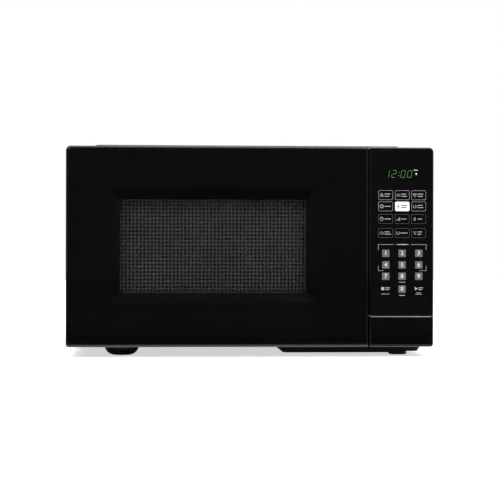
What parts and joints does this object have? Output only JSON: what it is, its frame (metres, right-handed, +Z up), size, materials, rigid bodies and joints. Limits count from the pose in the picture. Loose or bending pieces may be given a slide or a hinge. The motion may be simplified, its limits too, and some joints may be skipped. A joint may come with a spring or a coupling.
{
  "type": "microwave oven",
  "caption": "Countertop microwave oven: hinged window door with sprung latch, push-button release, turntable on a roller ring, keypad panel with clock, fan-cooled power parts.",
  "frame": {"origin": "on the table, under the middle of the bounding box", "axes": "+X to the right as seen from the front, +Y to the rear, +Z up"},
  "size_m": [0.485, 0.402, 0.2823],
  "materials": {
    "cover_paint": "satin black baked enamel",
    "galvanised": "zinc-coated sheet",
    "cavity_paint": "light grey baked enamel",
    "front_plate_paint": "satin black baked enamel",
    "gloss_black": "high-gloss black moulding",
    "matt_black": "fine-grained black moulding",
    "foot_black": "smooth black moulding",
    "grommet_rubber": "soft rubber",
    "screw_zinc": "zinc-plated steel",
    "guide_steel": "bright aluminised sheet",
    "mica": "pressed mica sheet",
    "magnetron_steel": "plated steel",
    "fin_aluminium": "plain aluminium",
    "antenna_ceramic": "white alumina",
    "core_iron": "varnished laminations",
    "copper_winding": "varnished copper wire",
    "can_aluminium": "plain drawn can",
    "diode_black": "moulded epoxy",
    "shroud_plastic": "dark grey moulding",
    "fan_motor_iron": "varnished laminations and coil",
    "fan_plastic": "off-white moulding",
    "pcb_green": "solder-masked board",
    "bulb_glass": "clear bulb",
    "holder_ceramic": "glazed socket",
    "cutout_black": "phenolic",
    "motor_steel": "plated steel can",
    "white_plastic": "natural acetal",
    "tray_glass": "clear toughened glass",
    "window_glass": "smoked clear pane",
    "inner_glass": "clear inner glass",
    "door_steel": "pressed steel",
    "screen_paint": "dark grey perforated sheet",
    "spring_steel": "spring wire",
    "hinge_steel": "zinc-plated steel",
    "keypad_film": "printed polyester film",
    "display_dark": "smoked display lens",
    "board_parts_blue": "moulded relay cases",
    "switch_black": "switch cases",
    "plunger_red": "switch plungers"
  },
  "bodies": {
    "cabinet": {"outer_cover": "cover_paint", "base_plate": "front_plate_paint", "feet": "foot_black", "front_plate": "front_plate_paint", "bay_plate": "front_plate_paint", "latch_webs": "front_plate_paint", "cavity": "cavity_paint", "rear_panel": "galvanised", "rear_spacers": "matt_black", "cover_screws": "screw_zinc", "waveguide": "guide_steel", "waveguide_cover": "mica", "magnetron_yoke": "magnetron_steel", "magnetron_anode": "fin_aluminium", "magnetron_antenna": "antenna_ceramic", "magnetron_filter_box": "magnetron_steel", "transformer_core": "core_iron", "transformer_windings": "copper_winding", "hv_capacitor": "can_aluminium", "capacitor_strap": "galvanised", "hv_diode": "diode_black", "fan_shroud": "shroud_plastic", "fan_motor": "fan_motor_iron", "filter_board": "pcb_green", "oven_lamp": "bulb_glass", "lamp_holder": "holder_ceramic", "thermal_cutouts": "cutout_black", "cord_grommet": "grommet_rubber", "turntable_motor": "motor_steel", "upper_hinge": "hinge_steel", "lower_hinge": "hinge_steel", "control_panel": "gloss_black", "keypad_overlay": "keypad_film", "display_module": "display_dark", "control_board": "pcb_green", "board_parts": "board_parts_blue", "button_spring": "spring_steel", "latch_board": "white_plastic", "interlock_switches": "switch_black"},
    "door": {"door_frame": "gloss_black", "door_window": "window_glass", "door_panel": "door_steel", "door_screen": "screen_paint", "inner_window": "inner_glass", "choke_cover": "matt_black", "latch_spring": "spring_steel"},
    "latch": {"door_latch": "white_plastic"},
    "button": {"release_button": "gloss_black"},
    "lever": {"release_lever": "white_plastic"},
    "plungers": {"switch_plungers": "plunger_red"},
    "turntable_drive": {"drive_coupler": "white_plastic"},
    "tray": {"glass_tray": "tray_glass", "tray_lugs": "tray_glass"},
    "ring": {"roller_ring": "white_plastic"},
    "roller_a": {"roller_1": "white_plastic"},
    "roller_b": {"roller_2": "white_plastic"},
    "roller_c": {"roller_3": "white_plastic"},
    "fan": {"fan_blade": "fan_plastic"}
  },
  "joints": [
    {"name": "door_swing", "type": "hinge", "parent": "cabinet", "child": "door", "pos_m": [-0.234, -0.1775, 0.145], "axis": [0, 0, -1], "range_deg": [0, 105]},
    {"name": "latch_slide", "type": "slide", "parent": "door", "child": "latch", "axis": [0, 0, 1], "range_m": [-0.004, 0], "stiffness_N_per_m": 300, "springref_m": -0.012, "deforming": ["latch_spring"]},
    {"name": "button_press", "type": "slide", "parent": "cabinet", "child": "button", "axis": [0, 1, 0], "range_m": [0, 0.0045], "stiffness_N_per_m": 500, "springref_m": -0.004, "deforming": ["button_spring"]},
    {"name": "lever_turn", "type": "hinge", "parent": "cabinet", "child": "lever", "pos_m": [0.15, -0.1585, 0.034], "axis": [1, 0, 0], "range_deg": [0, 20.6]},
    {"name": "plunger_press", "type": "slide", "parent": "cabinet", "child": "plungers", "axis": [0, 0, 1], "range_m": [-0.0012, 0]},
    {"name": "turntable_spin", "type": "hinge", "parent": "cabinet", "child": "turntable_drive", "pos_m": [-0.057, 0.0095, 0.043], "axis": [0, 0, 1], "continuous": true},
    {"name": "tray_lift", "type": "slide", "parent": "turntable_drive", "child": "tray", "axis": [0, 0, 1], "range_m": [0, 0.03]},
    {"name": "ring_spin", "type": "hinge", "parent": "cabinet", "child": "ring", "pos_m": [-0.057, 0.0095, 0.0458], "axis": [0, 0, 1], "continuous": true},
    {"name": "roller_a_spin", "type": "hinge", "parent": "ring", "child": "roller_a", "pos_m": [-0.057, 0.0095, 0.0458], "axis": [1, 0, 0], "continuous": true},
    {"name": "roller_b_spin", "type": "hinge", "parent": "ring", "child": "roller_b", "pos_m": [-0.057, 0.0095, 0.0458], "axis": [-0.5, 0.866, 0], "continuous": true},
    {"name": "roller_c_spin", "type": "hinge", "parent": "ring", "child": "roller_c", "pos_m": [-0.057, 0.0095, 0.0458], "axis": [-0.5, -0.866, 0], "continuous": true},
    {"name": "fan_spin", "type": "hinge", "parent": "cabinet", "child": "fan", "pos_m": [0.1705, 0.139, 0.202], "axis": [0, 1, 0], "continuous": true}
  ],
  "couplings": [
    {"joint": "lever_turn", "follows": "button_press", "rad_per_m": 79.5},
    {"joint": "plunger_press", "follows": "latch_slide", "ratio": 0.3},
    {"joint": "ring_spin", "follows": "turntable_spin", "ratio": 0.5},
    {"joint": "roller_a_spin", "follows": "turntable_spin", "ratio": -6.6667},
    {"joint": "roller_b_spin", "follows": "turntable_spin", "ratio": -6.6667},
    {"joint": "roller_c_spin", "follows": "turntable_spin", "ratio": -6.6667}
  ]
}
